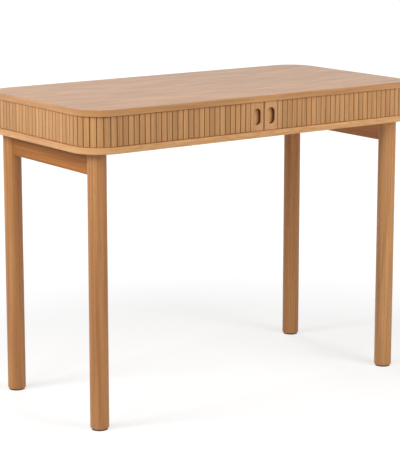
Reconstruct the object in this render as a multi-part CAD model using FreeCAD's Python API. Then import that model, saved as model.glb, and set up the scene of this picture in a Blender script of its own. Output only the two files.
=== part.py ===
import FreeCAD, Part
import math
import os
from FreeCAD import Vector

# Tambour desk. Millimetres, +Z up, front towards -Y, origin on the floor under the middle of the desk.

# Boards
desk_length = 1000.0
desk_depth = 500.0
desk_height = 764.0
corner_radius = 75.0
top_thickness = 15.5
bottom_thickness = 15.5
case_height = 71.0              # clear height between the two boards
top_edge_round = 3.5            # upper edge of the top board
board_edge_round = 1.5          # the other edges of both boards

# Slats
slat_pitch = 15.3
slat_gap = 0.5
slat_thickness = 5.0
slat_edge_chamfer = 1.5
face_recess = 4.0               # slat faces stand this far inside the edge of the boards
shoulder_clearance = 0.3        # between a slat's shoulder and a board
tongue_thickness = 3.2
tongue_length = 5.0
tongue_side_clearance = 0.3
tongue_foot_clearance = 0.3     # under the lower tongue
tongue_head_clearance = 1.0     # over the upper tongue
tail_cover = 20.0               # the closed tambour reaches at least this far behind the back panel
stop_clearance = 0.3            # between a tambour and the end of its groove

# Canvas that joins the slats
canvas_thickness = 0.8
canvas_margin = 6.0             # canvas edge to board
canvas_seam = 0.2               # between the front run's canvas and the side run's

# Lead slats, with the strip that clamps the canvas
lead_width = 39.5
lead_thickness = 16.0
lead_meeting_gap = 3.0
grip_width = 20.5
grip_height = 39.5
grip_depth = 10.0
grip_rim_chamfer = 0.8
canvas_rebate = 8.0
batten_width = 6.5
batten_thickness = 3.0
screw_shank_radius = 1.25
screw_head_radius = 2.4
screw_head_height = 1.4
screw_length = 7.0
screw_fit = 0.05
screw_inset = 12.0              # from the ends of the batten

# Lining of the case and the back
panel_thickness = 12.0
lining_clearance = 2.5          # lining to canvas where the tambour turns
divider_clearance = 4.0         # divider to lead slats
back_thickness = 9.0
back_recess = 4.0
back_running_gap = 1.5          # back panel to slats
back_groove_depth = 5.0
back_fit = 0.1
dowel_radius = 3.0
dowel_in_board = 6.0
dowel_in_panel = 16.0
dowel_fit = 0.05
dowel_end_clearance = 0.5
dowel_margin = 40.0             # from the ends of a panel
dowel_spacing = 170.0           # at most

# Legs, aprons and fixings
leg_diameter = 45.0
leg_inset_side = 53.0           # leg axis to the side edge of the boards
leg_inset_front = 55.0          # leg axis to the front or rear edge
leg_foot_chamfer = 2.5
glide_thickness = 3.0
glide_margin = 3.0              # glide edge to leg surface
glide_pin_radius = 2.5
glide_pin_length = 12.0
apron_height = 56.0
apron_thickness = 22.0
apron_edge_round = 2.0
apron_fit = 0.05
apron_dowel_radius = 4.0
apron_dowel_in_leg = 14.0
apron_dowel_in_apron = 25.0
apron_dowel_inset = 15.0        # from the upper and lower edge of the apron
stud_radius = 4.0
stud_in_leg = 40.0
insert_radius = 6.0
insert_length = 7.5
insert_flange_radius = 8.0
insert_flange_height = 1.5
metal_fit = 0.05

# Heights
case_top = desk_height - top_thickness
case_bottom = case_top - case_height
underside = case_bottom - bottom_thickness

# Run of the right-hand tambour in plan. The line followed is the front of the canvas, the backs of the slats.
front_line = -desk_depth / 2 + face_recess + slat_thickness
side_line = desk_length / 2 - face_recess - slat_thickness
back_inner_face = desk_depth / 2 - back_recess - back_thickness
back_line = back_inner_face - back_running_gap - slat_thickness
turn_radius = corner_radius - face_recess - slat_thickness
turn_x = side_line - turn_radius
front_turn_y = front_line + turn_radius
rear_turn_y = back_line - turn_radius
turn_length = turn_radius * math.pi / 2
front_turn_end = turn_x + turn_length
rear_turn_start = front_turn_end + rear_turn_y - front_turn_y
rear_turn_end = rear_turn_start + turn_length
sagitta = slat_pitch ** 2 / (8 * turn_radius)

# Slats on the run, counted from the lead slat
lead_start = lead_meeting_gap / 2
lead_end = lead_start + lead_width
front_count = int((turn_x - lead_end) / slat_pitch)
front_end = lead_end + front_count * slat_pitch
rest_count = math.ceil((rear_turn_end + tail_cover - front_end) / slat_pitch)
run_end = front_end + rest_count * slat_pitch
travel = (front_count - 1) * slat_pitch
groove_start = lead_start - stop_clearance
groove_end = turn_x - (run_end - rear_turn_end) - travel - stop_clearance

# Lining: a square box inside the turns of the tambour
lining_reach = (turn_radius - sagitta - canvas_thickness - lining_clearance) / math.sqrt(2)
lining_x = turn_x + lining_reach
lining_front_y = front_turn_y - lining_reach
lining_rear_y = rear_turn_y + lining_reach
lead_back = front_line + lead_thickness - slat_thickness
divider_front = lead_back + divider_clearance

# Legs
leg_radius = leg_diameter / 2
leg_x = desk_length / 2 - leg_inset_side
leg_y = desk_depth / 2 - leg_inset_front

Z_UP = Vector(0, 0, 1)
Y_IN = Vector(0, 1, 0)
same_place = 1e-6               # closer than this counts as the same place


def block(x0, x1, y0, y1, z0, z1):
    return Part.makeBox(x1 - x0, y1 - y0, z1 - z0, Vector(x0, y0, z0))


def rod(radius, length, base, axis=Z_UP):
    return Part.makeCylinder(radius, length, base, axis)


def prism(points, z0, z1):
    corners = [Vector(x, y, z0) for x, y in points]
    face = Part.Face(Part.makePolygon(corners + corners[:1]))
    return face.extrude(Vector(0, 0, z1 - z0))


def other_side(shape):
    return shape.mirror(Vector(0, 0, 0), Vector(1, 0, 0))


def edges_at_height(shape, height):
    return [e for e in shape.Edges
            if abs(e.BoundBox.ZMin - height) < same_place and abs(e.BoundBox.ZMax - height) < same_place]


def upright_edges(shape):
    return [e for e in shape.Edges if e.BoundBox.XLength + e.BoundBox.YLength < same_place]


def run_point(s):
    """Point of the tambour's line at the distance s from the middle of the front."""
    if s <= turn_x:
        return Vector(s, front_line, 0)
    if s <= front_turn_end:
        angle = (s - turn_x) / turn_radius
        return Vector(turn_x + turn_radius * math.sin(angle),
                      front_turn_y - turn_radius * math.cos(angle), 0)
    if s <= rear_turn_start:
        return Vector(side_line, front_turn_y + s - front_turn_end, 0)
    if s <= rear_turn_end:
        angle = (s - rear_turn_start) / turn_radius
        return Vector(turn_x + turn_radius * math.cos(angle),
                      rear_turn_y + turn_radius * math.sin(angle), 0)
    return Vector(turn_x - (s - rear_turn_end), back_line, 0)


def run_edges(offset):
    """The groove's run, moved outwards by offset, as lines and quarter arcs from the front to the back."""
    radius = turn_radius + offset
    diagonal = radius / math.sqrt(2)
    x_out = turn_x + radius
    y_front = front_turn_y - radius
    y_rear = rear_turn_y + radius
    corners = [Vector(groove_start, y_front, 0), Vector(turn_x, y_front, 0), Vector(x_out, front_turn_y, 0),
               Vector(x_out, rear_turn_y, 0), Vector(turn_x, y_rear, 0), Vector(groove_end, y_rear, 0)]
    front_middle = Vector(turn_x + diagonal, front_turn_y - diagonal, 0)
    rear_middle = Vector(turn_x + diagonal, rear_turn_y + diagonal, 0)
    return [Part.makeLine(corners[0], corners[1]),
            Part.Arc(corners[1], front_middle, corners[2]).toShape(),
            Part.makeLine(corners[2], corners[3]),
            Part.Arc(corners[3], rear_middle, corners[4]).toShape(),
            Part.makeLine(corners[4], corners[5])]


def groove(z0, z1):
    """Groove of the right-hand tambour. It ends short of the middle at the front and at the back."""
    inner_offset = -(sagitta + tongue_side_clearance)
    outer_offset = tongue_thickness + tongue_side_clearance
    outer = run_edges(outer_offset)
    inner = run_edges(inner_offset)
    ends = [Part.makeLine(Vector(groove_start, front_line - outer_offset, 0),
                          Vector(groove_start, front_line - inner_offset, 0)),
            Part.makeLine(Vector(groove_end, back_line + outer_offset, 0),
                          Vector(groove_end, back_line + inner_offset, 0))]
    wire = Part.Wire(Part.__sortEdges__(outer + inner + ends))
    shape = Part.Face(wire).extrude(Vector(0, 0, z1 - z0))
    shape.translate(Vector(0, 0, z0))
    return shape


def spread(low, high):
    """Evenly spaced dowel places between the margins of a panel."""
    first = low + dowel_margin
    last = high - dowel_margin
    steps = max(1, math.ceil((last - first) / dowel_spacing))
    return [first + (last - first) * i / steps for i in range(steps + 1)]


def dowel_places():
    """Plan positions of the dowels that hold the lining between the boards."""
    middle = panel_thickness / 2
    places = []
    for y in spread(lining_front_y, lining_rear_y - panel_thickness):
        places.append((lining_x - middle, y))
        places.append((middle - lining_x, y))
    for y in spread(divider_front, lining_rear_y - panel_thickness):
        places.append((0.0, y))
    for x in spread(panel_thickness / 2, lining_x):
        places.append((x, lining_rear_y - middle))
        places.append((-x, lining_rear_y - middle))
    return places


def panel_dowels(seat, board_direction):
    """Dowels across one joint face. board_direction is +1 where the board is above the panels."""
    low = seat - (dowel_in_panel if board_direction > 0 else dowel_in_board)
    length = dowel_in_panel + dowel_in_board
    return [rod(dowel_radius, length, Vector(x, y, low)) for x, y in dowel_places()]


def dowel_holes(seat, into_board, board_direction):
    """Holes for those dowels, in the board or in the panels."""
    depth = (dowel_in_board if into_board else dowel_in_panel) + dowel_end_clearance
    upwards = (board_direction > 0) == into_board
    low = seat if upwards else seat - depth
    return [rod(dowel_radius + dowel_fit, depth, Vector(x, y, low)) for x, y in dowel_places()]


def leg_places():
    return {"front_left": (-leg_x, -leg_y), "front_right": (leg_x, -leg_y),
            "rear_left": (-leg_x, leg_y), "rear_right": (leg_x, leg_y)}


def board(z0, z1, upper_round, lower_round):
    shape = block(-desk_length / 2, desk_length / 2, -desk_depth / 2, desk_depth / 2, z0, z1)
    shape = shape.makeFillet(corner_radius, upright_edges(shape))
    shape = shape.makeFillet(upper_round, edges_at_height(shape, z1))
    return shape.makeFillet(lower_round, edges_at_height(shape, z0))


def back_panel_groove(z0, z1):
    return block(-turn_x - back_fit, turn_x + back_fit, back_inner_face - back_fit,
                 back_inner_face + back_thickness + back_fit, z0, z1)


def top_board():
    shape = board(case_top, desk_height, top_edge_round, board_edge_round)
    run = groove(case_top, case_top + tongue_length + tongue_head_clearance)
    cuts = [run, other_side(run), back_panel_groove(case_top, case_top + back_groove_depth + back_fit)]
    return shape.cut(cuts + dowel_holes(case_top, True, 1))


def bottom_board():
    shape = board(underside, case_bottom, board_edge_round, board_edge_round)
    run = groove(case_bottom - tongue_length - tongue_foot_clearance, case_bottom)
    cuts = [run, other_side(run), back_panel_groove(case_bottom - back_groove_depth, case_bottom)]
    for x, y in leg_places().values():
        seat = Vector(x, y, underside)
        cuts.append(rod(insert_radius + metal_fit, insert_length + dowel_end_clearance, seat))
        cuts.append(rod(insert_flange_radius + metal_fit, insert_flange_height, seat))
    return shape.cut(cuts + dowel_holes(case_bottom, True, -1))


def lining_panel(x0, x1, y0, y1):
    shape = block(x0, x1, y0, y1, case_bottom, case_top)
    return shape.cut(dowel_holes(case_top, False, 1) + dowel_holes(case_bottom, False, -1))


def right_side_panel():
    return lining_panel(lining_x - panel_thickness, lining_x, lining_front_y, lining_rear_y - panel_thickness)


def centre_divider():
    return lining_panel(-panel_thickness / 2, panel_thickness / 2, divider_front,
                        lining_rear_y - panel_thickness)


def inner_back_panel():
    return lining_panel(-lining_x, lining_x, lining_rear_y - panel_thickness, lining_rear_y)


def back_panel():
    return block(-turn_x, turn_x, back_inner_face, back_inner_face + back_thickness,
                 case_bottom - back_groove_depth, case_top + back_groove_depth)


def slat_plan(width, x_middle, y_back):
    """Outline of a slat seen from above, with its two face edges eased."""
    half = width / 2
    eased = half - slat_edge_chamfer
    y_face = y_back - slat_thickness
    y_ease = y_face + slat_edge_chamfer
    return [(x_middle - half, y_back), (x_middle + half, y_back), (x_middle + half, y_ease),
            (x_middle + eased, y_face), (x_middle - eased, y_face), (x_middle - half, y_ease)]


def slat(width, x_middle, y_back):
    """A slat between the boards, with a tongue along its back that runs in the grooves."""
    body = prism(slat_plan(width, x_middle, y_back), case_bottom + shoulder_clearance,
                 case_top - shoulder_clearance)
    tongue = block(x_middle - width / 2, x_middle + width / 2, y_back - tongue_thickness, y_back,
                   case_bottom - tongue_length, case_top + tongue_length)
    return body.fuse(tongue).removeSplitter()


def slats(first, count):
    """Slats of the right-hand run, each on the chord of its stretch of the line."""
    pattern = slat(slat_pitch - slat_gap, 0.0, 0.0)
    group = []
    for i in range(first, first + count):
        start = run_point(lead_end + i * slat_pitch)
        end = run_point(lead_end + (i + 1) * slat_pitch)
        chord = end - start
        copy = pattern.copy()
        copy.rotate(Vector(0, 0, 0), Z_UP, math.degrees(math.atan2(chord.y, chord.x)))
        copy.translate((start + end) * 0.5)
        group.append(copy)
    return group


def canvas_heights():
    return case_bottom + canvas_margin, case_top - canvas_margin


def screw_heights():
    low, high = canvas_heights()
    return low + screw_inset, high - screw_inset


def batten_middle():
    return lead_end - canvas_rebate / 2


def batten_screw_holes(radius, depth, y_start):
    """Round holes for the batten's screws, along +Y from y_start."""
    return [rod(radius, depth, Vector(batten_middle(), y_start, z), Y_IN) for z in screw_heights()]


def right_front_canvas():
    low, high = canvas_heights()
    start = lead_end - canvas_rebate + canvas_seam
    shape = block(start, front_end - canvas_seam, front_line, front_line + canvas_thickness, low, high)
    return shape.cut(batten_screw_holes(screw_shank_radius + screw_fit, canvas_thickness, front_line))


def right_side_canvas():
    """Canvas of the corner, the side and the tail. It lies flat on the back of each slat."""
    points = [run_point(front_end + i * slat_pitch) for i in range(rest_count + 1)]
    chords = [(b - a).normalize() for a, b in zip(points, points[1:])]
    inner = []
    for i, point in enumerate(points):
        before = chords[max(i - 1, 0)]
        after = chords[min(i, rest_count - 1)]
        bisector = (before + after).normalize()
        inwards = Vector(-bisector.y, bisector.x, 0)
        inner.append(point + inwards * (canvas_thickness / before.dot(bisector)))
    outline = [(p.x, p.y) for p in points + inner[::-1]]
    low, high = canvas_heights()
    return prism(outline, low, high)


def right_lead_slat():
    """Wide slat at the front edge of the tambour, thicker behind, with a finger recess in its face."""
    middle = (lead_start + lead_end) / 2
    shape = slat(lead_width, middle, front_line)
    thick = block(lead_start, lead_end - canvas_rebate, front_line - tongue_thickness, lead_back,
                  case_bottom + shoulder_clearance, case_top - shoulder_clearance)
    shape = shape.fuse(thick).removeSplitter()
    face = front_line - slat_thickness
    shape = shape.cut(grip_recess(middle, face))
    rim = [e for e in shape.Edges if is_grip_rim(e, middle, face)]
    shape = shape.makeChamfer(grip_rim_chamfer, rim)
    pilot = screw_length - canvas_thickness - batten_thickness
    return shape.cut(batten_screw_holes(screw_shank_radius + screw_fit, pilot, front_line - pilot))


def grip_recess(x_middle, y_face):
    """Upright stadium, sunk into the face of a lead slat."""
    z_middle = (case_bottom + case_top) / 2
    radius = grip_width / 2
    reach = grip_height / 2 - radius
    straight = block(x_middle - radius, x_middle + radius, y_face, y_face + grip_depth,
                     z_middle - reach, z_middle + reach)
    ends = [rod(radius, grip_depth, Vector(x_middle, y_face, z_middle + side * reach), Y_IN)
            for side in (-1, 1)]
    return straight.multiFuse(ends).removeSplitter()


def is_grip_rim(edge, x_middle, y_face):
    """Whether an edge of a lead slat lies on its face, inside the face's own outline."""
    box = edge.BoundBox
    on_face = abs(box.YMin - y_face) < same_place and abs(box.YMax - y_face) < same_place
    reach = max(abs(box.XMin - x_middle), abs(box.XMax - x_middle))
    inside_x = reach < lead_width / 2 - 2 * slat_edge_chamfer
    inside_z = box.ZMin > case_bottom + canvas_margin and box.ZMax < case_top - canvas_margin
    return on_face and inside_x and inside_z


def right_canvas_batten():
    low, high = canvas_heights()
    y_start = front_line + canvas_thickness
    shape = block(batten_middle() - batten_width / 2, batten_middle() + batten_width / 2,
                  y_start, y_start + batten_thickness, low, high)
    holes = batten_screw_holes(screw_shank_radius + screw_fit, batten_thickness, y_start)
    seats = batten_screw_holes(screw_head_radius + screw_fit, screw_head_height,
                               y_start + batten_thickness - screw_head_height)
    return shape.cut(holes + seats)


def right_batten_screws():
    """Flush screws, from the back of the batten into the lead slat."""
    y_head = front_line + canvas_thickness + batten_thickness
    shanks = batten_screw_holes(screw_shank_radius, screw_length, y_head - screw_length)
    heads = batten_screw_holes(screw_head_radius, screw_head_height, y_head - screw_head_height)
    return [shank.fuse(head).removeSplitter() for shank, head in zip(shanks, heads)]


def apron_dowels(x):
    """Dowels between one apron and its two legs."""
    length = apron_dowel_in_leg + apron_dowel_in_apron
    start = leg_radius - apron_dowel_in_leg
    group = []
    for z in (underside - apron_height + apron_dowel_inset, underside - apron_dowel_inset):
        group.append(rod(apron_dowel_radius, length, Vector(x, start - leg_y, z), Y_IN))
        group.append(rod(apron_dowel_radius, length, Vector(x, leg_y - start, z), Y_IN * -1))
    return group


def apron_dowel_holes(x):
    length = apron_dowel_in_leg + apron_dowel_in_apron + 2 * dowel_end_clearance
    start = leg_radius - apron_dowel_in_leg - dowel_end_clearance
    radius = apron_dowel_radius + dowel_fit
    group = []
    for z in (underside - apron_height + apron_dowel_inset, underside - apron_dowel_inset):
        group.append(rod(radius, length, Vector(x, start - leg_y, z), Y_IN))
        group.append(rod(radius, length, Vector(x, leg_y - start, z), Y_IN * -1))
    return group


def leg(x, y):
    shape = rod(leg_radius, underside - glide_thickness, Vector(x, y, glide_thickness))
    shape = shape.makeChamfer(leg_foot_chamfer, edges_at_height(shape, glide_thickness))
    stud_hole = rod(stud_radius + metal_fit, stud_in_leg + dowel_end_clearance,
                    Vector(x, y, underside - stud_in_leg - dowel_end_clearance))
    pin_hole = rod(glide_pin_radius + metal_fit, glide_pin_length + dowel_end_clearance,
                   Vector(x, y, glide_thickness))
    return shape.cut([stud_hole, pin_hole] + apron_dowel_holes(x))


def glide(x, y):
    disc = rod(leg_radius - glide_margin, glide_thickness, Vector(x, y, 0))
    pin = rod(glide_pin_radius, glide_thickness + glide_pin_length, Vector(x, y, 0))
    return disc.fuse(pin).removeSplitter()


def apron(x):
    """Flat rail under the bottom board, scribed to the round legs."""
    half = apron_thickness / 2
    low = underside - apron_height
    shape = block(x - half, x + half, -leg_y, leg_y, low, underside)
    lower_edges = [e for e in edges_at_height(shape, low) if e.BoundBox.YLength > apron_thickness]
    shape = shape.makeFillet(apron_edge_round, lower_edges)
    scribes = [rod(leg_radius + apron_fit, apron_height, Vector(x, y, low)) for y in (-leg_y, leg_y)]
    return shape.cut(scribes + apron_dowel_holes(x))


def leg_stud(x, y):
    return rod(stud_radius, stud_in_leg + insert_length, Vector(x, y, underside - stud_in_leg))


def leg_insert(x, y):
    """Flanged sleeve, flush with the underside of the bottom board."""
    seat = Vector(x, y, underside)
    sleeve = rod(insert_radius, insert_length, seat)
    flange = rod(insert_flange_radius, insert_flange_height, seat)
    bore = rod(stud_radius + metal_fit, insert_length, seat)
    return sleeve.fuse(flange).removeSplitter().cut(bore)


def save(name, shape):
    if isinstance(shape, list):
        shape = shape[0] if len(shape) == 1 else Part.makeCompound(shape)
    if not shape.isValid():
        raise ValueError(name + " is not a valid shape")
    shape.exportStep(os.path.join("parts", name + ".step"))
    print(name, len(shape.Solids), round(shape.Volume, 1))


def save_pair(name, right):
    """Writes a right-hand piece and its mirror image."""
    group = right if isinstance(right, list) else [right]
    save("right_" + name, group)
    save("left_" + name, [other_side(shape) for shape in group])


def slats_before(s):
    """Number of slats, from the lead slat, that start before the distance s."""
    return math.ceil((s - lead_end) / slat_pitch)


os.makedirs("parts", exist_ok=True)

save("top_board", top_board())
save("bottom_board", bottom_board())
save_pair("side_panel", right_side_panel())
save("centre_divider", centre_divider())
save("inner_back_panel", inner_back_panel())
save("back_panel", back_panel())
save("panel_dowels_top", panel_dowels(case_top, 1))
save("panel_dowels_bottom", panel_dowels(case_bottom, -1))

corner_count = slats_before(front_turn_end) - front_count
side_count = slats_before(rear_turn_start) - front_count - corner_count
rear_count = rest_count - corner_count - side_count
save_pair("lead_slat", right_lead_slat())
save_pair("front_slats", slats(0, front_count))
save_pair("corner_slats", slats(front_count, corner_count))
save_pair("side_slats", slats(front_count + corner_count, side_count))
save_pair("rear_corner_slats", slats(front_count + corner_count + side_count, rear_count))
save_pair("front_canvas", right_front_canvas())
save_pair("side_canvas", right_side_canvas())
save_pair("canvas_batten", right_canvas_batten())
save_pair("batten_screws", right_batten_screws())

save_pair("apron", apron(leg_x))
save_pair("apron_dowels", apron_dowels(leg_x))
for corner, (x, y) in leg_places().items():
    save(corner + "_leg", leg(x, y))
    save(corner + "_glide", glide(x, y))
save("leg_studs", [leg_stud(x, y) for x, y in leg_places().values()])
save("leg_inserts", [leg_insert(x, y) for x, y in leg_places().values()])

print("slats on each side:", front_count, corner_count, side_count, rear_count)
print("travel of a lead slat:", round(travel, 2), "groove end:", round(groove_end, 2))
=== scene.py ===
import bpy
import math
import random
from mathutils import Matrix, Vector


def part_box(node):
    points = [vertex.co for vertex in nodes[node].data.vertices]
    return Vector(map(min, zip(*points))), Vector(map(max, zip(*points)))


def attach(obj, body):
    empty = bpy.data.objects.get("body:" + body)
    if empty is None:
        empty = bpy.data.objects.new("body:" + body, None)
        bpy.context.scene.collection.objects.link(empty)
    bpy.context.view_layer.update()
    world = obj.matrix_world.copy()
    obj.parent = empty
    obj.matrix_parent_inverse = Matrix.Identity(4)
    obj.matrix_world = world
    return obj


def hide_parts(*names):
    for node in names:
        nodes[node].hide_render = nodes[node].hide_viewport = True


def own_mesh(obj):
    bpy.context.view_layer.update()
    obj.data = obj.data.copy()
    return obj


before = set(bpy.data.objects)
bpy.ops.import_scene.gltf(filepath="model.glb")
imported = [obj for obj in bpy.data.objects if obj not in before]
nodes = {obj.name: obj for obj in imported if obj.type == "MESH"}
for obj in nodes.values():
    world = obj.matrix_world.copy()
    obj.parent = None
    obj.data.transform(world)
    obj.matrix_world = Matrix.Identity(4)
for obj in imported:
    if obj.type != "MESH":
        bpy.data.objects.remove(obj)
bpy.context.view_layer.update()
bothSides = (("left", -1), ("right", 1))


# Helpers for modelling

slack = 1e-5                # metres, closer places count as the same
looseSlack = 1e-4           # for places on a rounded outline
smoothAngle = 35            # degrees, sharper bends stay sharp


def near(a, b):
    return abs(a - b) < slack


def selectOnly(*chosen):
    bpy.ops.object.select_all(action="DESELECT")
    for piece in chosen:
        piece.select_set(True)
    bpy.context.view_layer.objects.active = chosen[0]


def applyPlace(piece):
    selectOnly(piece)
    bpy.ops.object.transform_apply(location=True, rotation=True, scale=True)


def addBlock(name, low, high):
    bpy.ops.object.select_all(action="DESELECT")
    middle = [(a + b) / 2 for a, b in zip(low, high)]
    bpy.ops.mesh.primitive_cube_add(size=1, location=middle)
    piece = bpy.context.object
    piece.name = name
    piece.data.name = name
    piece.scale = [b - a for a, b in zip(low, high)]
    applyPlace(piece)
    return piece


def pickParts(piece, kind, wanted):
    # leaves edit mode on, with only the wanted edges or faces selected
    selectOnly(piece)
    bpy.ops.object.mode_set(mode="EDIT")
    bpy.ops.mesh.select_mode(type=kind)
    bpy.ops.mesh.select_all(action="DESELECT")
    bpy.ops.object.mode_set(mode="OBJECT")
    mesh = piece.data
    parts = mesh.edges if kind == "EDGE" else mesh.polygons
    for part in parts:
        part.select = wanted([mesh.vertices[i].co for i in part.vertices])
    bpy.ops.object.mode_set(mode="EDIT")


def cutAcross(piece, point, normal):
    selectOnly(piece)
    bpy.ops.object.mode_set(mode="EDIT")
    bpy.ops.mesh.select_all(action="SELECT")
    bpy.ops.mesh.bisect(plane_co=point, plane_no=normal)
    bpy.ops.object.mode_set(mode="OBJECT")


def pullFaces(piece, wanted, move):
    pickParts(piece, "FACE", wanted)
    bpy.ops.mesh.extrude_region_move(TRANSFORM_OT_translate={"value": move})
    bpy.ops.object.mode_set(mode="OBJECT")


def roundEdges(piece, wanted, width, steps):
    pickParts(piece, "EDGE", wanted)
    bpy.ops.mesh.bevel(offset=width, offset_type="OFFSET", segments=steps, profile=0.5, affect="EDGES")
    bpy.ops.object.mode_set(mode="OBJECT")


def smoothFaces(piece, degrees=smoothAngle):
    selectOnly(piece)
    bpy.ops.object.shade_smooth_by_angle(angle=math.radians(degrees))


def markPoints(piece, name, values):
    piece.data.attributes.new(name, "FLOAT", "POINT").data.foreach_set("value", values)


def markPlaces(piece, name, places):
    piece.data.attributes.new(name, "FLOAT_VECTOR", "POINT").data.foreach_set("vector", places)


# Helpers for materials

noiseSpan = (0.3, 0.7)              # nearly all values of a noise lie in here
edgeSpan = (0.99, 0.85)             # cosine of the bend at which an edge begins, and at which it is full
edgeSamples = 4


def newFinish(name):
    material = bpy.data.materials.new(name)
    material.use_nodes = True
    tree = material.node_tree
    return material, tree, tree.nodes["Principled BSDF"]


def addNode(tree, kind, inputs, **settings):
    node = tree.nodes.new("ShaderNode" + kind)
    for key, value in settings.items():
        setattr(node, key, value)
    for key, value in inputs.items():
        if isinstance(value, bpy.types.NodeSocket):
            tree.links.new(value, node.inputs[key])
        else:
            node.inputs[key].default_value = value
    return node.outputs


def evenNoise(tree, size):
    place = addNode(tree, "TexCoord", {})["Object"]
    return addNode(tree, "TexNoise", {"Vector": place, "Scale": 1 / size, "Detail": 3})["Fac"]


def stretchedNoise(tree, place, along, across, detail, distortion=0.0):
    # noise drawn out along the grain, with its sizes in metres
    size = (1 / along, 1 / across, 1 / across)
    scaled = addNode(tree, "Mapping", {"Vector": place, "Scale": size})["Vector"]
    inputs = {"Vector": scaled, "Scale": 1.0, "Detail": detail, "Distortion": distortion}
    return addNode(tree, "TexNoise", inputs)["Fac"]


def spread(tree, value, fromLow, fromHigh, toLow=0.0, toHigh=1.0):
    inputs = {"Value": value, "From Min": fromLow, "From Max": fromHigh, "To Min": toLow, "To Max": toHigh}
    return addNode(tree, "MapRange", inputs)["Result"]


def spreadAroundOne(tree, value, fromLow, fromHigh, gain):
    return spread(tree, value, fromLow, fromHigh, 1 - gain, 1 + gain)


def calculate(tree, operation, a, b=0.0):
    return addNode(tree, "Math", {0: a, 1: b}, operation=operation)["Value"]


def absolute(tree, vector):
    return addNode(tree, "VectorMath", {0: vector}, operation="ABSOLUTE")["Vector"]


def readShare(tree, attribute):
    return addNode(tree, "Attribute", {}, attribute_name=attribute)["Fac"]


def mixColours(tree, share, a, b, how="MIX"):
    return addNode(tree, "Mix", {0: share, 6: a, 7: b}, data_type="RGBA", blend_type=how)[2]


def edgeMask(tree, radius):
    # 1 on edges and corners, 0 on open faces
    rounded = addNode(tree, "Bevel", {"Radius": radius}, samples=edgeSamples)["Normal"]
    plain = addNode(tree, "NewGeometry", {})["Normal"]
    facing = addNode(tree, "VectorMath", {0: rounded, 1: plain}, operation="DOT_PRODUCT")["Value"]
    return spread(tree, facing, *edgeSpan)


def addRelief(tree, shader, height, strength, depth):
    bump = addNode(tree, "Bump", {"Height": height, "Strength": strength, "Distance": depth})
    tree.links.new(bump["Normal"], shader.inputs["Normal"])


# Wood

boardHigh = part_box("top_board")[1]
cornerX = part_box("back_panel")[1].x                 # the back panel ends where the boards' corners begin
cornerY = boardHigh.y - (boardHigh.x - cornerX)

grainTurns = {
    "X": (0, 0, 0),
    "Y": (0, 0, -math.pi / 2),
    "Z": (0, math.pi / 2, 0),
}

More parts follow.
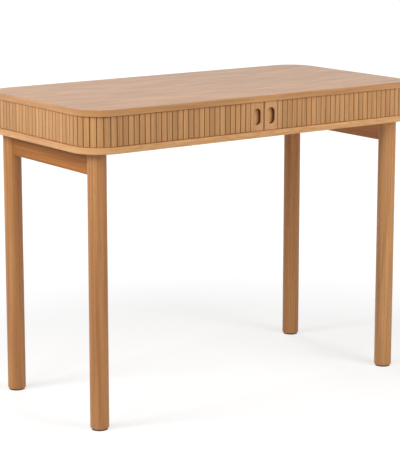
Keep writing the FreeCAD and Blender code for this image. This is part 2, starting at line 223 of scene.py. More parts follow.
oakLooks = {
    "oakTop": {
        "grain": "X",
        "bandPlace": 0.50,              # place in the wood that the edges of the board are cut from
        "bandTint": (0.995, 0.995, 0.975, 1),
        "pale": (0.648, 0.320, 0.125, 1),
        "deep": (0.470, 0.222, 0.077, 1),
        "line": (0.325, 0.138, 0.042, 1),
        "pore": (0.200, 0.073, 0.020, 1),
        "figure": (0.18, 0.036),        # size of the broad figure, along and across the grain
        "rings": (1.10, 0.120, 11),     # size of the ring field and its number of lines
        "ringShare": 0.42,
        "poreShare": 0.50,
        "streakGain": 0.08,
        "rough": (0.28, 0.38),
    },
    "oakBoard": {
        "grain": "X",
        "bandPlace": 1.30,
        "bandTint": (0.97, 0.99, 1.03, 1),
        "pale": (0.725, 0.392, 0.167, 1),
        "deep": (0.638, 0.320, 0.123, 1),
        "line": (0.400, 0.162, 0.048, 1),
        "pore": (0.250, 0.102, 0.030, 1),
        "figure": (0.40, 0.050),
        "rings": (0.22, 0.050, 8),
        "ringShare": 0.38,
        "poreShare": 0.45,
        "streakGain": 0.08,
        "rough": (0.40, 0.55),
    },
    "oakSlat": {
        "grain": "Z",
        "place": "grainPlace",
        "tone": "slatTone",
        "jointShade": (0.300, 0.122, 0.034, 1),      # painted shade at the front of the slats' sides
        "pale": (0.590, 0.316, 0.131, 1),
        "deep": (0.475, 0.238, 0.090, 1),
        "line": (0.340, 0.147, 0.046, 1),
        "pore": (0.210, 0.085, 0.026, 1),
        "figure": (0.30, 0.010),
        "rings": (0.70, 0.030, 7),
        "ringShare": 0.22,
        "poreShare": 0.40,
        "streakGain": 0.05,
        "rough": (0.42, 0.58),
    },
    "oakLead": {
        "grain": "Z",
        "wall": (0.130, 0.040, 0.008, 1),       # painted shade on the walls of the finger recess
        # painted light on the floor of the finger recess, paler than the face
        "floor": (0.760, 0.400, 0.175, 1),
        # painted shade on the outer side, as on the slats
        "jointShade": (0.300, 0.122, 0.034, 1),
        "pale": (0.672, 0.370, 0.172, 1),
        "deep": (0.568, 0.296, 0.127, 1),
        "line": (0.415, 0.188, 0.066, 1),
        "pore": (0.220, 0.089, 0.029, 1),
        "figure": (0.30, 0.016),
        "rings": (0.70, 0.050, 8),
        "ringShare": 0.30,
        "poreShare": 0.45,
        "streakGain": 0.05,
        "rough": (0.42, 0.58),
    },
    "oakLeg": {
        "grain": "Z",
        "pale": (0.550, 0.260, 0.092, 1),
        "deep": (0.434, 0.186, 0.060, 1),
        "line": (0.350, 0.134, 0.040, 1),
        "pore": (0.200, 0.076, 0.023, 1),
        "figure": (0.45, 0.014),
        "rings": (1.00, 0.040, 7),
        "ringShare": 0.45,
        "poreShare": 0.40,
        "streakGain": 0.14,
        "rough": (0.40, 0.55),
    },
    # painted shade: the aprons are darker and redder than the legs, standing in for the shade under the
    # bottom board
    "oakApronPaintedShade": {
        "grain": "Y",
        "pale": (0.430, 0.169, 0.039, 1),
        "deep": (0.340, 0.121, 0.026, 1),
        "line": (0.260, 0.083, 0.017, 1),
        "pore": (0.180, 0.057, 0.012, 1),
        "figure": (0.40, 0.020),
        "rings": (0.70, 0.040, 8),
        "ringShare": 0.50,
        "poreShare": 0.45,
        "streakGain": 0.12,
        "gloss": 0.30,
        "rough": (0.48, 0.62),
    },
    "oakLining": {
        "grain": "X",
        "pale": (0.560, 0.307, 0.137, 1),
        "deep": (0.480, 0.249, 0.104, 1),
        "line": (0.400, 0.191, 0.076, 1),
        "pore": (0.240, 0.107, 0.040, 1),
        "figure": (0.50, 0.045),
        "rings": (1.00, 0.100, 9),
        "ringShare": 0.25,
        "poreShare": 0.40,
        "streakGain": 0.05,
        "rough": (0.48, 0.62),
    },
}

# painted light: the front-right leg and the right apron are paler, standing in for the light that falls on
# them
oakLooks["oakLegPaintedLight"] = {
    **oakLooks["oakLeg"],
    "pale": (0.640, 0.330, 0.130, 1),
    "deep": (0.515, 0.240, 0.087, 1),
    "line": (0.400, 0.163, 0.051, 1),
    "pore": (0.210, 0.085, 0.026, 1),
}
oakLooks["oakApronPaintedLight"] = {
    **oakLooks["oakApronPaintedShade"],
    "pale": (0.645, 0.280, 0.082, 1),
    "deep": (0.525, 0.203, 0.053, 1),
    "line": (0.390, 0.136, 0.033, 1),
    "pore": (0.210, 0.080, 0.022, 1),
    "gloss": 0.50,
    "rough": (0.42, 0.56),
}

oakShared = {
    "streak": (0.300, 0.0035),      # streaks, fine fibres and pores, along and across the grain
    "fibre": (0.060, 0.0012),
    "pores": (0.014, 0.00045),
    "figureSpan": (0.32, 0.68),     # values of the noise at which each begins, and at which it is full
    "fibreSpan": (0.25, 0.75),
    "poreSpan": (0.60, 0.72),
    "ringReach": 0.22,              # half the width of a ring line, as a share of the distance between lines
    "fibreGain": 0.07,              # change of brightness, up and down
    "toneGain": 0.15,
    "edgePaleGain": 0.06,               # edges and corners are this much paler
    "edgePaleRadius": 0.0025,
    "gloss": 0.50,
    "poreRough": 0.15,              # pores are this much rougher
    "fibreHeight": 0.5,             # as a share of the depth of the pores
    "relief": (0.35, 0.00025),      # strength, and depth in metres
    "bandStretch": 2.5,             # the figure is this much finer across the edges of the boards
    "levelNormal": 0.8,             # faces that point up or down by more than this are level
}


def bandedPlace(tree, place, bandPlace):
    # on upright faces the grain runs along the outline of the board, on level faces along its length
    spot = addNode(tree, "SeparateXYZ", {"Vector": absolute(tree, place)})
    facing = absolute(tree, addNode(tree, "TexCoord", {})["Normal"])
    normal = addNode(tree, "SeparateXYZ", {"Vector": facing})
    pastCornerX = calculate(tree, "SUBTRACT", spot["X"], cornerX)
    pastCornerY = calculate(tree, "SUBTRACT", spot["Y"], cornerY)
    alongFront = calculate(tree, "MULTIPLY", pastCornerX, normal["Y"])
    alongSide = calculate(tree, "MULTIPLY", pastCornerY, normal["X"])
    along = calculate(tree, "SUBTRACT", alongSide, alongFront)
    across = calculate(tree, "MULTIPLY", spot["Z"], oakShared["bandStretch"])
    band = addNode(tree, "CombineXYZ", {"X": along, "Y": across, "Z": bandPlace})["Vector"]
    level = calculate(tree, "GREATER_THAN", normal["Z"], oakShared["levelNormal"])
    return addNode(tree, "Mix", {0: level, 4: band, 5: place}, data_type="VECTOR")[1], level


def oakGrain(tree, look, place):
    figure = stretchedNoise(tree, place, *look["figure"], detail=3, distortion=0.3)
    ringLength, ringWidth, ringCount = look["rings"]
    field = stretchedNoise(tree, place, ringLength, ringWidth, detail=1.5, distortion=0.2)
    # 0 on a ring line, and 0.5 halfway to the next
    wave = calculate(tree, "PINGPONG", calculate(tree, "MULTIPLY", field, ringCount), 0.5)
    pores = stretchedNoise(tree, place, *oakShared["pores"], detail=1)
    return {
        "figure": spread(tree, figure, *oakShared["figureSpan"]),
        "ring": spread(tree, wave, 0.0, oakShared["ringReach"], look["ringShare"], 0.0),
        "streak": stretchedNoise(tree, place, *oakShared["streak"], detail=2),
        "fibre": stretchedNoise(tree, place, *oakShared["fibre"], detail=3),
        "pore": spread(tree, pores, *oakShared["poreSpan"]),
    }


def oakColour(tree, look, grain):
    colour = mixColours(tree, grain["figure"], look["pale"], look["deep"])
    colour = mixColours(tree, grain["ring"], colour, look["line"])
    poreShare = calculate(tree, "MULTIPLY", grain["pore"], look["poreShare"])
    return mixColours(tree, poreShare, colour, look["pore"])


def oakPaintedShadeAndLight(tree, look, shader, colour):
    # painted shade on the walls of the recess and the sides of the slats, and painted light on the recess
    # floor, each mixed in by its share; cut wood is dull
    gloss = look.get("gloss", oakShared["gloss"])
    shader.inputs["Specular IOR Level"].default_value = gloss
    for cut in ("wall", "floor", "jointShade"):
        if cut in look:
            share = readShare(tree, cut + "Share")
            colour = mixColours(tree, share, colour, look[cut])
            gloss = calculate(tree, "MULTIPLY", spread(tree, share, 0.0, 1.0, 1.0, 0.0), gloss)
            tree.links.new(gloss, shader.inputs["Specular IOR Level"])
    return colour


def oakBrightness(tree, look, grain):
    fibre = spreadAroundOne(tree, grain["fibre"], *oakShared["fibreSpan"], oakShared["fibreGain"])
    streak = spreadAroundOne(tree, grain["streak"], *noiseSpan, look["streakGain"])
    value = calculate(tree, "MULTIPLY", fibre, streak)
    if "tone" in look:
        tone = spreadAroundOne(tree, readShare(tree, look["tone"]), 0.0, 1.0, oakShared["toneGain"])
        value = calculate(tree, "MULTIPLY", value, tone)
    if "jointShade" not in look:
        edge = edgeMask(tree, oakShared["edgePaleRadius"])
        value = calculate(tree, "ADD", value, calculate(tree, "MULTIPLY", edge, oakShared["edgePaleGain"]))
    return value


def oakFinish(name):
    look = oakLooks[name]
    material, tree, shader = newFinish(name)
    if "place" in look:
        place = addNode(tree, "Attribute", {}, attribute_name=look["place"])["Vector"]
    else:
        place = addNode(tree, "TexCoord", {})["Object"]
    if "bandPlace" in look:
        place, level = bandedPlace(tree, place, look["bandPlace"])
    turned = addNode(tree, "Mapping", {"Vector": place, "Rotation": grainTurns[look["grain"]]})["Vector"]
    grain = oakGrain(tree, look, turned)

    colour = oakColour(tree, look, grain)
    if "bandPlace" in look:
        tinted = mixColours(tree, 1.0, colour, look["bandTint"], "MULTIPLY")
        colour = mixColours(tree, level, tinted, colour)
    colour = oakPaintedShadeAndLight(tree, look, shader, colour)
    value = oakBrightness(tree, look, grain)
    toned = addNode(tree, "HueSaturation", {"Value": value, "Color": colour})["Color"]
    tree.links.new(toned, shader.inputs["Base Color"])

    rough = spread(tree, grain["fibre"], *noiseSpan, *look["rough"])
    poreRough = calculate(tree, "MULTIPLY", grain["pore"], oakShared["poreRough"])
    tree.links.new(calculate(tree, "ADD", rough, poreRough), shader.inputs["Roughness"])
    raised = calculate(tree, "MULTIPLY", grain["fibre"], oakShared["fibreHeight"])
    addRelief(tree, shader, calculate(tree, "SUBTRACT", raised, grain["pore"]), *oakShared["relief"])
    return material


# Other materials

beech = {
    "pale": (0.620, 0.430, 0.270, 1),
    "deep": (0.540, 0.350, 0.200, 1),
    "fleck": (0.006, 0.0006),       # along and across the dowel
    "fleckSpan": (0.4, 0.65),
    "rough": (0.55, 0.70),
    "relief": (0.3, 0.0002),
}


def beechFinish():
    material, tree, shader = newFinish("beechDowel")
    place = addNode(tree, "TexCoord", {})["Object"]
    flecks = stretchedNoise(tree, place, *beech["fleck"], detail=2)
    share = spread(tree, flecks, *beech["fleckSpan"])
    tree.links.new(mixColours(tree, share, beech["pale"], beech["deep"]), shader.inputs["Base Color"])
    tree.links.new(spread(tree, flecks, *noiseSpan, *beech["rough"]), shader.inputs["Roughness"])
    addRelief(tree, shader, flecks, *beech["relief"])
    return material


steel = {
    "bright": (0.74, 0.74, 0.72, 1),
    "dull": (0.55, 0.55, 0.54, 1),
    "spangle": 0.0015,
    "spangleSpan": (0.35, 0.65),
    "rough": (0.26, 0.46),
    "relief": (0.15, 0.0001),
}


def steelFinish():
    material, tree, shader = newFinish("zincSteel")
    spangle = evenNoise(tree, steel["spangle"])
    share = spread(tree, spangle, *steel["spangleSpan"])
    tree.links.new(mixColours(tree, share, steel["bright"], steel["dull"]), shader.inputs["Base Color"])
    tree.links.new(spread(tree, spangle, *noiseSpan, *steel["rough"]), shader.inputs["Roughness"])
    shader.inputs["Metallic"].default_value = 1.0
    addRelief(tree, shader, spangle, *steel["relief"])
    return material


glide = {
    "dark": (0.060, 0.036, 0.020, 1),
    "scuffed": (0.120, 0.080, 0.050, 1),
    "scuffRadius": 0.0015,
    "scuffSpan": (0.4, 0.6),
    "scuffShare": (0.2, 1.0),       # least and most of the scuffed colour on an edge
    "speck": 0.0009,
    "rough": (0.45, 0.65),
    "relief": (0.25, 0.0001),
}


def glideFinish():
    material, tree, shader = newFinish("glidePlastic")
    speck = evenNoise(tree, glide["speck"])
    rubbed = spread(tree, speck, *glide["scuffSpan"], *glide["scuffShare"])
    scuff = calculate(tree, "MULTIPLY", edgeMask(tree, glide["scuffRadius"]), rubbed)
    tree.links.new(mixColours(tree, scuff, glide["dark"], glide["scuffed"]), shader.inputs["Base Color"])
    tree.links.new(spread(tree, speck, *noiseSpan, *glide["rough"]), shader.inputs["Roughness"])
    addRelief(tree, shader, speck, *glide["relief"])
    return material


cloth = {
    "thread": (0.360, 0.180, 0.062, 1),
    "shade": (0.210, 0.095, 0.030, 1),
    "threadPitch": 0.0011,
    "slub": (0.040, 0.0012),        # thick places in the thread, along and across
    "slubHeight": 0.6,              # as a share of the height of the weave
    "shadeSpan": (0.1, 1.2),        # heights between which the shade gives way to the thread
    "roughSpan": (0.2, 1.3),
    "rough": (0.80, 0.95),
    "sheen": 0.15,
    "relief": (0.5, 0.0003),
}


def clothFinish():
    material, tree, shader = newFinish("canvasWeave")
    place = addNode(tree, "Attribute", {}, attribute_name="clothPlace")["Vector"]
    turns = math.pi / cloth["threadPitch"]
    apart = addNode(tree, "SeparateXYZ", {"Vector": place})
    across = calculate(tree, "SINE", calculate(tree, "MULTIPLY", apart["X"], turns))
    upwards = calculate(tree, "SINE", calculate(tree, "MULTIPLY", apart["Y"], turns))
    product = calculate(tree, "MULTIPLY", across, upwards)
    weave = spread(tree, product, -1.0, 1.0)            # plain weave: over one, under one
    slub = stretchedNoise(tree, place, *cloth["slub"], detail=2)
    height = calculate(tree, "ADD", weave, calculate(tree, "MULTIPLY", slub, cloth["slubHeight"]))
    share = spread(tree, height, *cloth["shadeSpan"], 1.0, 0.0)
    tree.links.new(mixColours(tree, share, cloth["thread"], cloth["shade"]), shader.inputs["Base Color"])
    tree.links.new(spread(tree, height, *cloth["roughSpan"], *cloth["rough"]), shader.inputs["Roughness"])
    shader.inputs["Sheen Weight"].default_value = cloth["sheen"]
    addRelief(tree, shader, height, *cloth["relief"])
    return material


finishes = {name: oakFinish(name) for name in oakLooks}
finishes["beechDowel"] = beechFinish()
finishes["zincSteel"] = steelFinish()
finishes["glidePlastic"] = glideFinish()
finishes["canvasWeave"] = clothFinish()
print("materials made:", len(finishes))


# Finish of the CAD nodes: the first entry whose words are in the node's name

nodeFinishes = [
    ("top_board", "oakTop"),
    ("bottom_board", "oakBoard"),
    ("inner_back_panel", "oakLining"),
    ("back_panel", "oakBoard"),
    ("side_panel", "oakLining"),
    ("centre_divider", "oakLining"),
    ("dowels", "beechDowel"),
    ("lead_slat", "oakLead"),
    ("slats", "oakLead"),
    ("batten_screws", "zincSteel"),
    ("canvas_batten", "oakLead"),
    ("canvas", "canvasWeave"),
    ("right_apron", "oakApronPaintedLight"),
    ("apron", "oakApronPaintedShade"),
    ("leg_studs", "zincSteel"),
    ("leg_inserts", "zincSteel"),
    ("front_right_leg", "oakLegPaintedLight"),
    ("leg", "oakLeg"),
    ("glide", "glidePlastic"),
]

for nodeName, node in nodes.items():
    finish = next(finish for words, finish in nodeFinishes if words in nodeName)
    node.material_slots[0].material = finishes[finish]
print("CAD nodes finished:", len(nodes))


# Finish and body of a modelled piece

def dress(piece, finish):
    piece.data.materials.clear()
    piece.data.materials.append(finishes[finish])


def settle(piece, body, slot, *replaced):
    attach(piece, body)
    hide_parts(*replaced)


# Run of the tambour, from the frame

slat = {
    "frontCount": 25,
    "gap": 0.0005,
    "thickness": 0.005,
    "tongueThickness": 0.0032,
    "tongueReach": 0.0053,          # tongue end to shoulder
    "edgeRound": 0.0015,
    "roundSteps": 4,
    "jointShadeTones": {                 # share of the painted joint shade
        "front": 1.0,
        "corner": 0.4,
        "side": 0.7,
        "rear": 0.4,
    },
    "rightJointShade": 0.6,               # the painted joint shade of the right-hand tambour is this much lighter
    "jointShadeFade": 0.003,             # depth over which the painted joint shade fades, behind the rounded edge
    "woodReach": 5,                 # metres of wood, each way, that the slats are cut from
    "toneSpread": 0.24,
    "toneSeed": 7,
}

frontLow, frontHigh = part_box("right_front_slats")
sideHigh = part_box("right_side_slats")[1]
tailLow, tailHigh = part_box("right_rear_corner_slats")

frontLineY = frontHigh.y                            # backs of the front slats
sideLineX = sideHigh.x - slat["thickness"]
rearLineY = tailHigh.y - slat["thickness"]
turnRadius = sideLineX - cornerX                    # the run turns about the middle of the boards' corner
frontTurnY = frontLineY + turnRadius
rearTurnY = rearLineY - turnRadius
turnLength = turnRadius * math.pi / 2
frontTurnEnd = cornerX + turnLength
rearTurnStart = frontTurnEnd + rearTurnY - frontTurnY
rearTurnEnd = rearTurnStart + turnLength
slatPitch = (frontHigh.x - frontLow.x + slat["gap"]) / slat["frontCount"]
slatStart = frontLow.x - slat["gap"] / 2            # edge of the lead slat
slatWidth = slatPitch - slat["gap"]
runEnd = rearTurnEnd + cornerX - tailLow.x + slat["gap"] / 2
slatCounts = {"front": slat["frontCount"]}
for part, partEnd in (("corner", frontTurnEnd), ("side", rearTurnStart)):
    slatCounts[part] = math.ceil((partEnd - slatStart) / slatPitch) - sum(slatCounts.values())
slatCounts["rear"] = round((runEnd - slatStart) / slatPitch) - sum(slatCounts.values())
shoulderLow = frontLow.z + slat["tongueReach"]
shoulderHigh = frontHigh.z - slat["tongueReach"]
slatMiddle = (shoulderLow + shoulderHigh) / 2


def runPoint(s):
    # plan point at the distance s from the middle of the front, along the right-hand run
    if s <= cornerX:
        return s, frontLineY
    if s <= frontTurnEnd:
        angle = (s - cornerX) / turnRadius
        return cornerX + turnRadius * math.sin(angle), frontTurnY - turnRadius * math.cos(angle)
    if s <= rearTurnStart:
        return sideLineX, frontTurnY + s - frontTurnEnd
    if s <= rearTurnEnd:
        angle = (s - rearTurnStart) / turnRadius
        return cornerX + turnRadius * math.cos(angle), rearTurnY + turnRadius * math.sin(angle)
    return cornerX - (s - rearTurnEnd), rearLineY


# Slats

def modelSlat():
    halfWidth = slatWidth / 2
    face = -slat["thickness"]
    piece = addBlock("slatPattern", (-halfWidth, face, shoulderLow), (halfWidth, 0, shoulderHigh))
    drawTongues(piece, -slat["tongueThickness"])
    roundFace(piece, face)
    markJointShade(piece, 0, halfWidth, face, (-1, 1))
    smoothFaces(piece)
    return piece


def drawTongues(piece, tongueFront):
    cutAcross(piece, (0, tongueFront, 0), (0, 1, 0))
    for height, reach in ((shoulderHigh, slat["tongueReach"]), (shoulderLow, -slat["tongueReach"])):
        pullFaces(piece, lambda points: all(near(p.z, height) and p.y > tongueFront - slack for p in points),
                  (0, 0, reach))


def roundFace(piece, face):
    roundEdges(piece, lambda points: all(near(p.y, face) for p in points),
               slat["edgeRound"], slat["roundSteps"])


def markJointShade(piece, middleX, halfWidth, face, sides):
    # painted shade: the sides that face other slats are darker, and the rounded edges shade into them
    shares = []
    for vertex in piece.data.vertices:
        reach = max(side * (vertex.co.x - middleX) for side in sides)
        turned = (reach - halfWidth) / slat["edgeRound"] + 1
        depth = max(vertex.co.y - face - slat["edgeRound"], 0) / slat["jointShadeFade"]
        shares.append(min(max(turned, 0), 1) * max(1 - depth, 0))
    markPoints(piece, "jointShadeShare", shares)


def fadeJointShade(piece, tone):
    jointShade = piece.data.attributes["jointShadeShare"].data
    shares = [0.0] * len(jointShade)
    jointShade.foreach_get("value", shares)
    jointShade.foreach_set("value", [share * tone for share in shares])


def markGrain(piece):
    # each slat is cut from another place in the wood, and has its own tone
    reach = slat["woodReach"]
    shift = [random.uniform(-reach, reach) for axis in range(3)]
    tone = min(max(random.gauss(0.5, slat["toneSpread"]), 0.0), 1.0)
    places = []
    for vertex in piece.data.vertices:
        places.extend(a + b for a, b in zip(vertex.co, shift))
    markPlaces(piece, "grainPlace", places)
    markPoints(piece, "slatTone", [tone] * len(piece.data.vertices))


def placeSlats(name, pattern, first, count, side):
    # copies of the pattern, each on the chord of its stretch of the run
    copies = []
    for i in range(first, first + count):
        startX, startY = runPoint(slatStart + i * slatPitch)
        endX, endY = runPoint(slatStart + (i + 1) * slatPitch)
        selectOnly(pattern)
        bpy.ops.object.duplicate(linked=False)
        copy = bpy.context.object
        copies.append(copy)
        markGrain(copy)
        copy.location = (side * (startX + endX) / 2, (startY + endY) / 2, 0)
        copy.rotation_euler = (0, 0, side * math.atan2(endY - startY, endX - startX))
    selectOnly(*copies)
    bpy.ops.object.join()
    group = bpy.context.object
    group.name = name
    group.data.name = name
    applyPlace(group)
    dress(group, "oakSlat")
    return group


random.seed(slat["toneSeed"])
slatPattern = modelSlat()
for sideName, side in bothSides:
    first = 0
    for part in ("front", "corner", "side", "rear"):
        count = slatCounts[part]
        nodeName = sideName + "_" + ("rear_corner" if part == "rear" else part) + "_slats"
        piece = placeSlats(sideName + part.capitalize() + "Slats", slatPattern, first, count, side)
        # painted joint shade, fainter in some parts of the run and on the right
        fadeJointShade(piece, slat["jointShadeTones"][part] * (slat["rightJointShade"] if side > 0 else 1))
        settle(piece, sideName + "_tambour" if part == "front" else "desk", "oak_slat", nodeName)
        if part == "front":
            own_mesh(piece)
        first += count
bpy.data.objects.remove(slatPattern)
print("slats placed:", first, "on each side")


# Lead slats

lead = {
    "gripWidth": 0.0205,
    "gripHeight": 0.0395,
    "gripDepth": 0.010,
    "gripRound": 0.999,             # share of the half width that rounds the ends, so that no edges meet
    "gripSteps": 12,
    "floorRound": 0.003,
    "floorSteps": 4,
    "rimRound": 0.0008,
    "rimSteps": 3,
    "wallShadeTone": 0.90,               # share of the painted shade on the walls and of the painted light on the floor of the recess
    "floorLightTone": 0.90,
    "rebate": 0.008,                # canvas and batten lie here
}


def modelLead(sideName, side):
    low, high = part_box(sideName + "_lead_slat")
    face = low.y
    back = frontLineY
    piece = addBlock(sideName + "LeadSlat", (low.x, face, shoulderLow), (high.x, back, shoulderHigh))
    drawTongues(piece, back - slat["tongueThickness"])
    outer = high.x if side > 0 else low.x
    step = outer - side * lead["rebate"]
    cutAcross(piece, (step, 0, 0), (1, 0, 0))
    pullFaces(piece, lambda points: all(near(p.y, back) and side * (step - p.x) > -slack
                                        and shoulderLow - slack < p.z < shoulderHigh + slack for p in points),
              (0, high.y - back, 0))
    roundFace(piece, face)
    middleX = (low.x + high.x) / 2
    cutGrip(piece, middleX, face)
    markGrip(piece, middleX, face)
    markJointShade(piece, middleX, (high.x - low.x) / 2, face, (side,))
    smoothFaces(piece)
    dress(piece, "oakLead")
    settle(piece, sideName + "_tambour", "oak_slat", sideName + "_lead_slat")


def cutGrip(piece, middleX, face):
    halfWidth = lead["gripWidth"] / 2
    halfHeight = lead["gripHeight"] / 2
    depth = lead["gripDepth"]
    low = (middleX - halfWidth, face - depth, slatMiddle - halfHeight)
    high = (middleX + halfWidth, face + depth, slatMiddle + halfHeight)
    cutter = addBlock("gripCutter", low, high)
    roundEdges(cutter, lambda points: near(points[0].x, points[1].x) and near(points[0].z, points[1].z),
               halfWidth * lead["gripRound"], lead["gripSteps"])
    roundEdges(cutter, lambda points: all(near(p.y, face + depth) for p in points),
               lead["floorRound"], lead["floorSteps"])
    selectOnly(piece)
    cut = piece.modifiers.new("grip", "BOOLEAN")
    cut.operation = "DIFFERENCE"
    cut.solver = "EXACT"
    cut.object = cutter
    bpy.ops.object.modifier_apply(modifier="grip")
    bpy.data.objects.remove(cutter)
    roundEdges(piece, lambda points: all(near(p.y, face) and abs(p.x - middleX) < halfWidth + looseSlack
                                         and abs(p.z - slatMiddle) < halfHeight + looseSlack for p in points),
               lead["rimRound"], lead["rimSteps"])


def markGrip(piece, middleX, face):
    # painted shade makes the routed walls of the recess darker than the face, and painted light makes its
    # floor paler
    halfWidth = lead["gripWidth"] / 2
    straightHalf = (lead["gripHeight"] - lead["gripWidth"]) / 2
    floorY = face + lead["gripDepth"]
    walls = []
    floors = []
    for vertex in piece.data.vertices:
        x, y, z = vertex.co
        reach = math.hypot(x - middleX, max(abs(z - slatMiddle) - straightHalf, 0))
        inside = face + slack < y < floorY + slack and reach < halfWidth + looseSlack
        onWall = y < floorY - lead["floorRound"] / 2
        # painted shade on the walls, painted light on the floor
        walls.append(lead["wallShadeTone"] if inside and onWall else 0.0)
        floors.append(lead["floorLightTone"] if inside and not onWall else 0.0)
    markPoints(piece, "wallShare", walls)
    markPoints(piece, "floorShare", floors)


for sideName, side in bothSides:
    modelLead(sideName, side)
print("lead slats modelled")


# Canvas

canvas = {
    "stepsPerSlat": 4,
    "thickness": 0.0007,
    "smoothAngle": 50,
    "openKeep": 0.97,               # share of the width for an open front strip, which this script doesn't apply
}


def modelStrip(name, points, low, high):
    # an upright strip, drawn out step by step along plan points
    bpy.ops.object.select_all(action="DESELECT")
    bpy.ops.mesh.primitive_plane_add(size=1, location=(0, 0, 0))
    piece = bpy.context.object
    piece.name = name
    piece.data.name = name
    (x0, y0), (x1, y1) = points[:2]
    piece.location = ((x0 + x1) / 2, (y0 + y1) / 2, (low + high) / 2)
    piece.rotation_euler = (math.pi / 2, 0, math.atan2(y1 - y0, x1 - x0))
    piece.scale = (math.hypot(x1 - x0, y1 - y0), high - low, 1)
    applyPlace(piece)
    pickParts(piece, "EDGE", lambda ends: all(near(p.x, x1) and near(p.y, y1) for p in ends))
    for (ax, ay), (bx, by) in zip(points[1:], points[2:]):
        bpy.ops.mesh.extrude_region_move(TRANSFORM_OT_translate={"value": (bx - ax, by - ay, 0)})
    bpy.ops.object.mode_set(mode="OBJECT")
    return piece


def clothPoints(startS, endS, side):
    # points along the backs of the slats
    steps = round((endS - startS) / slatPitch * canvas["stepsPerSlat"])
    points = []
    for i in range(steps + 1):
        s = startS + (endS - startS) * i / steps
        index = math.floor((s - slatStart) / slatPitch + slack)
        share = (s - slatStart) / slatPitch - index
        x0, y0 = runPoint(slatStart + index * slatPitch)
        x1, y1 = runPoint(slatStart + (index + 1) * slatPitch)
        points.append((side * (x0 + (x1 - x0) * share), y0 + (y1 - y0) * share))
    return points


def finishCloth(piece, points):
    # every point keeps its place on the flat cloth, so that the weave follows the bends
    lengths = [0.0]
    for (ax, ay), (bx, by) in zip(points, points[1:]):
        lengths.append(lengths[-1] + math.hypot(bx - ax, by - ay))
    places = []
    for vertex in piece.data.vertices:
        gaps = [math.hypot(vertex.co.x - x, vertex.co.y - y) for x, y in points]
        places.extend((lengths[gaps.index(min(gaps))], vertex.co.z, 0.0))
    markPlaces(piece, "clothPlace", places)
    selectOnly(piece)
    wall = piece.modifiers.new("thickness", "SOLIDIFY")
    wall.thickness = canvas["thickness"]
    wall.offset = 1.0
    bpy.ops.object.modifier_apply(modifier="thickness")
    smoothFaces(piece, canvas["smoothAngle"])
    dress(piece, "canvasWeave")
    return lengths[-1]


for sideName, side in bothSides:
    low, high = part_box(sideName + "_front_canvas")
    inner, outer = sorted((abs(low.x), abs(high.x)))
    endS = slatStart + sum(slatCounts.values()) * slatPitch
    runs = {
        "Front": (inner, outer, sideName + "_tambour"),
        "Side": (slatStart + slat["frontCount"] * slatPitch, endS, "desk"),
    }
    for part, (fromS, toS, body) in runs.items():
        points = clothPoints(fromS, toS, side)
        piece = modelStrip(sideName + part + "Canvas", points, low.z, high.z)
        length = finishCloth(piece, points)
        settle(piece, body, "canvas", sideName + "_" + part.lower() + "_canvas")
        if part == "Front":
            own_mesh(piece)
print("canvas laid")


# Floor, light and camera

studio = {
    "white": (1, 1, 1, 1),
    "floorSize": 60.0,
    "floorColour": (0.60, 0.60, 0.60, 1),   # the camera sees the floor white instead
    "floorRough": 0.9,
    "shadowReach": (0.7, 1.6),              # the shadow fades out between these distances from the desk
    "floorGlow": 0.60,                      # least share of plain white
    "glowStrength": 1.10,
    "ambient": 0.12,
    "aim": (0, 0, 0.55),                    # where all lamps look
}

softboxes = {
    "sideBox": {"place": (-3.4, 0.4, 2.6), "size": 1.4, "power": 85},
    "cornerBox": {"place": (-3.0, -1.2, 2.2), "size": 1.4, "power": 34},
    "frontBox": {"place": (0.9, -2.1, 1.3), "size": 1.2, "power": 23},
    "highBox": {"place": (0.3, -2.4, 3.2), "size": 1.4, "power": 24},
    "backBox": {"place": (0.8, 3.2, 1.9), "size": 1.6, "power": 24},
}


def seenRays(tree):
    # 1 for rays that look at the background, straight or through gloss and glass
    path = addNode(tree, "LightPath", {})
    direct = calculate(tree, "MAXIMUM", path["Is Camera Ray"], path["Is Glossy Ray"])
    return calculate(tree, "MAXIMUM", direct, path["Is Transmission Ray"])


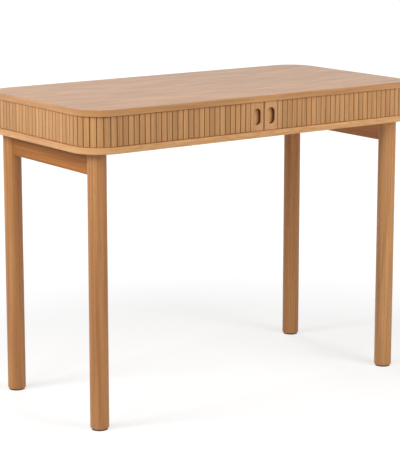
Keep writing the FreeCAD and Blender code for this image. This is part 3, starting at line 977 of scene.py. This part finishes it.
def addFloor():
    bpy.ops.object.select_all(action="DESELECT")
    bpy.ops.mesh.primitive_plane_add(size=studio["floorSize"], location=(0, 0, 0))
    floor = bpy.context.object
    floor.name = "studioFloor"
    material, tree, shader = newFinish("paleFloor")
    seen = seenRays(tree)
    colour = mixColours(tree, seen, studio["floorColour"], studio["white"])
    tree.links.new(colour, shader.inputs["Base Color"])
    shader.inputs["Roughness"].default_value = studio["floorRough"]
    shader.inputs["Specular IOR Level"].default_value = 0.0
    place = addNode(tree, "TexCoord", {})["Object"]
    distance = addNode(tree, "VectorMath", {0: place}, operation="LENGTH")["Value"]
    fade = spread(tree, distance, *studio["shadowReach"], studio["floorGlow"], 1.0)
    share = calculate(tree, "MULTIPLY", seen, fade)
    inputs = {"Color": studio["white"], "Strength": studio["glowStrength"]}
    glow = addNode(tree, "Emission", inputs)["Emission"]
    mixed = addNode(tree, "MixShader", {0: share, 1: shader.outputs["BSDF"], 2: glow})["Shader"]
    tree.links.new(mixed, tree.nodes["Material Output"].inputs["Surface"])
    floor.data.materials.append(material)


def addWorld():
    world = bpy.data.worlds.new("studioWorld")
    world.use_nodes = True
    bpy.context.scene.world = world
    tree = world.node_tree
    strength = spread(tree, seenRays(tree), 0.0, 1.0, studio["ambient"], 1.0)
    background = tree.nodes["Background"]
    background.inputs["Color"].default_value = studio["white"]
    tree.links.new(strength, background.inputs["Strength"])


def addSoftbox(name, place, size, power):
    bpy.ops.object.light_add(type="AREA", location=place)
    lamp = bpy.context.object
    lamp.name = name
    lamp.data.size = size
    lamp.data.energy = power
    lamp.visible_glossy = False         # gloss shows the pale surroundings, not the lamps
    x, y, z = (b - a for a, b in zip(place, studio["aim"]))
    lamp.rotation_euler = (math.atan2(math.hypot(x, y), -z), 0, math.atan2(-x, y))


photoCamera = {
    "place": (-2.48096, -3.39803, 1.28643),
    "turn": 35.989,                 # degrees from +Y towards +X
    "lookDown": 10.42,
    "lens": 132.02,
    "shiftY": -0.1,
    "farthest": 200,
}


def addCamera():
    data = bpy.data.cameras.new("photoCamera")
    data.lens = photoCamera["lens"]
    data.shift_y = photoCamera["shiftY"]
    data.clip_end = photoCamera["farthest"]
    camera = bpy.data.objects.new("photoCamera", data)
    bpy.context.scene.collection.objects.link(camera)
    camera.location = photoCamera["place"]
    tilt = math.radians(90 - photoCamera["lookDown"])
    camera.rotation_euler = (tilt, 0, math.radians(-photoCamera["turn"]))
    bpy.context.scene.camera = camera


addFloor()
addWorld()
for name, box in softboxes.items():
    addSoftbox(name, **box)
addCamera()
bpy.context.scene.view_settings.view_transform = "Standard"
print("studio set")
